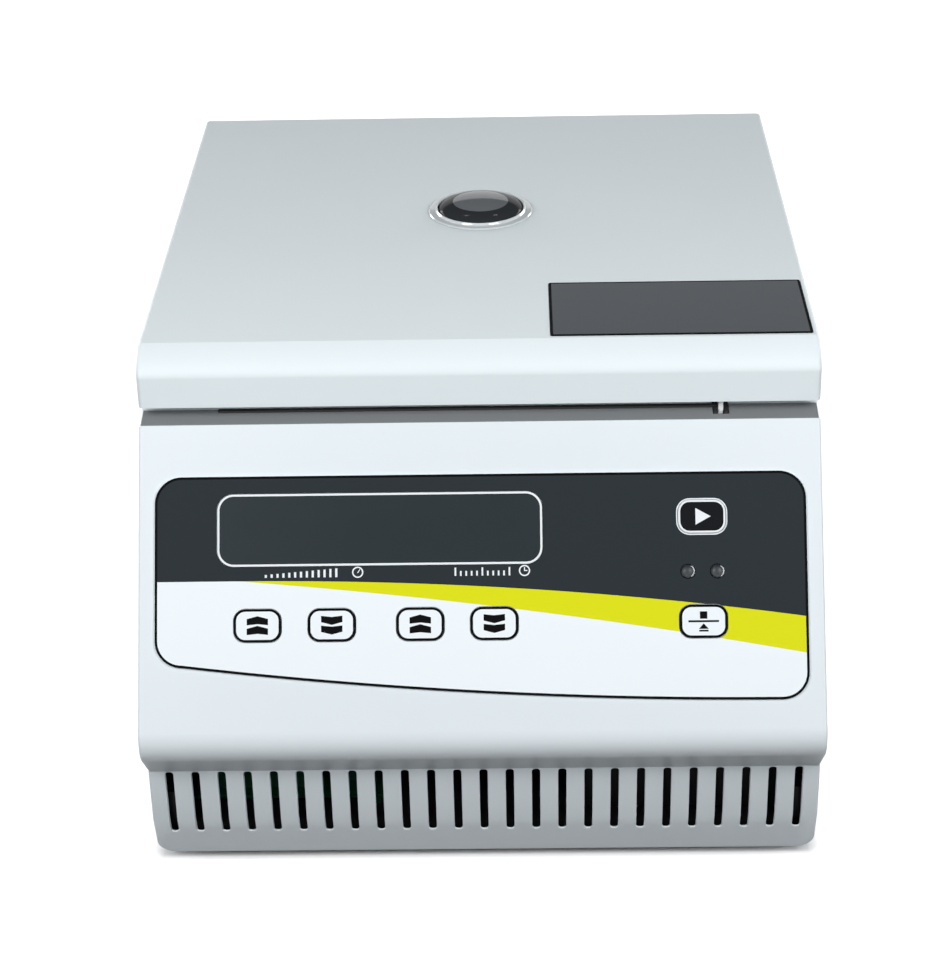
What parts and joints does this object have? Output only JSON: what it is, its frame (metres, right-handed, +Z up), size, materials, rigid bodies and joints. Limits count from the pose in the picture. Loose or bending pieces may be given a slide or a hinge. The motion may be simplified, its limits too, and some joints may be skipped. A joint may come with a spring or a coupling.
{
  "type": "hematocrit centrifuge",
  "caption": "Bench centrifuge for capillary tubes: sloping control panel, slotted plinth, hinged lid with a sight glass, and a flat grooved rotor in a bowl.",
  "frame": {"origin": "on the bench, under the middle of the footprint", "axes": "+X to the right as seen from the front, +Y to the back, +Z up"},
  "size_m": [0.28, 0.3625, 0.2212],
  "materials": {
    "casing_white": "fine matt-gloss moulded enclosure plastic",
    "lid_white": "satin painted lid",
    "liner_plastic": "matt moulded plastic",
    "painted_steel": "fine powder coat",
    "zinc_steel": "zinc plated",
    "bright_steel": "ground",
    "bowl_steel": "spun stainless, brushed round",
    "cast_aluminium": "as cast, machined faces",
    "rotor_aluminium": "turned and clear anodised",
    "rubber_black": "moulded",
    "black_plastic": "fine spark texture",
    "overlay_film": "printed polyester film",
    "smoked_window": "polished",
    "smoked_glass": "polished smoked acrylic",
    "clear_ring": "polished",
    "plate_grey": "bare printed plate",
    "lamp_lens": "domed lens",
    "key_white": "embossed film",
    "key_dark": "embossed film",
    "circuit_board": "solder mask"
  },
  "bodies": {
    "base": {"casing": "casing_white", "base_plate": "painted_steel", "rear_panel": "painted_steel", "foot_front_left": "rubber_black", "foot_front_right": "rubber_black", "foot_rear_left": "rubber_black", "foot_rear_right": "rubber_black", "power_inlet": "black_plastic", "switch_bezel": "black_plastic", "power_supply": "zinc_steel", "drive_board": "circuit_board", "latch_guide": "black_plastic", "lock_body": "zinc_steel", "bowl": "bowl_steel", "bowl_seal": "rubber_black", "shaft_boot": "rubber_black", "motor_frame": "painted_steel", "motor_mount_1": "rubber_black", "motor_mount_2": "rubber_black", "motor_mount_3": "rubber_black", "motor_top_cap": "cast_aluminium", "motor_can": "zinc_steel", "motor_bottom_cap": "cast_aluminium", "bearing_upper": "bright_steel", "bearing_lower": "bright_steel", "panel_overlay": "overlay_film", "display_window": "smoked_window", "display_module": "black_plastic", "control_board": "circuit_board", "lamp_left": "lamp_lens", "lamp_right": "lamp_lens", "hinge_base_leaf_left": "zinc_steel", "hinge_base_leaf_right": "zinc_steel", "hinge_pin_left": "bright_steel", "hinge_pin_right": "bright_steel"},
    "lid": {"lid_shell": "lid_white", "lid_liner": "liner_plastic", "name_plate": "plate_grey", "sight_glass": "smoked_glass", "sight_ring": "clear_ring", "sight_nut": "black_plastic", "latch_hook": "zinc_steel", "hinge_lid_leaf_left": "zinc_steel", "hinge_lid_leaf_right": "zinc_steel"},
    "rotor": {"drive_shaft": "bright_steel", "cooling_fan": "black_plastic", "rotor_disc": "rotor_aluminium", "rotor_ring": "rubber_black"},
    "rotor_cover": {"rotor_cover": "rotor_aluminium"},
    "rotor_knob": {"rotor_knob": "black_plastic"},
    "switch_rocker": {"switch_rocker": "black_plastic"},
    "fuse_drawer": {"fuse_drawer": "black_plastic"},
    "lock_bolt": {"lock_bolt": "bright_steel"},
    "key_speed_up": {"key_speed_up": "key_white"},
    "key_speed_down": {"key_speed_down": "key_white"},
    "key_time_up": {"key_time_up": "key_white"},
    "key_time_down": {"key_time_down": "key_white"},
    "key_run": {"key_run": "key_dark"},
    "key_stop": {"key_stop": "key_white"}
  },
  "joints": [
    {"name": "lid_hinge", "type": "hinge", "parent": "base", "child": "lid", "pos_m": [0, 0.17756, 0.19025], "axis": [-1, 0, 0], "range_deg": [0, 80]},
    {"name": "rotor_spin", "type": "hinge", "parent": "base", "child": "rotor", "pos_m": [0, 0.04456, 0.1385], "axis": [0, 0, 1], "continuous": true},
    {"name": "rotor_cover_lift", "type": "slide", "parent": "rotor", "child": "rotor_cover", "axis": [0, 0, 1], "range_m": [0, 0.025]},
    {"name": "rotor_knob_turn", "type": "hinge", "parent": "rotor_cover", "child": "rotor_knob", "pos_m": [0, 0.04456, 0.156], "axis": [0, 0, 1], "range_deg": [0, 720]},
    {"name": "power_switch", "type": "hinge", "parent": "base", "child": "switch_rocker", "pos_m": [0.0475, 0.16956, 0.0505], "axis": [-1, 0, 0], "range_deg": [0, 18]},
    {"name": "fuse_drawer_pull", "type": "slide", "parent": "base", "child": "fuse_drawer", "axis": [0, 1, 0], "range_m": [0, 0.018]},
    {"name": "lid_lock", "type": "slide", "parent": "base", "child": "lock_bolt", "axis": [-1, 0, 0], "range_m": [0, 0.005]},
    {"name": "key_speed_up_press", "type": "slide", "parent": "base", "child": "key_speed_up", "axis": [0, 0.8324, -0.5542], "range_m": [0, 0.0006], "stiffness_N_per_m": 600, "springref_m": -0.0002},
    {"name": "key_speed_down_press", "type": "slide", "parent": "base", "child": "key_speed_down", "axis": [0, 0.8324, -0.5542], "range_m": [0, 0.0006], "stiffness_N_per_m": 600, "springref_m": -0.0002},
    {"name": "key_time_up_press", "type": "slide", "parent": "base", "child": "key_time_up", "axis": [0, 0.8324, -0.5542], "range_m": [0, 0.0006], "stiffness_N_per_m": 600, "springref_m": -0.0002},
    {"name": "key_time_down_press", "type": "slide", "parent": "base", "child": "key_time_down", "axis": [0, 0.8324, -0.5542], "range_m": [0, 0.0006], "stiffness_N_per_m": 600, "springref_m": -0.0002},
    {"name": "key_run_press", "type": "slide", "parent": "base", "child": "key_run", "axis": [0, 0.8324, -0.5542], "range_m": [0, 0.0006], "stiffness_N_per_m": 600, "springref_m": -0.0002},
    {"name": "key_stop_press", "type": "slide", "parent": "base", "child": "key_stop", "axis": [0, 0.8324, -0.5542], "range_m": [0, 0.0006], "stiffness_N_per_m": 600, "springref_m": -0.0002}
  ]
}
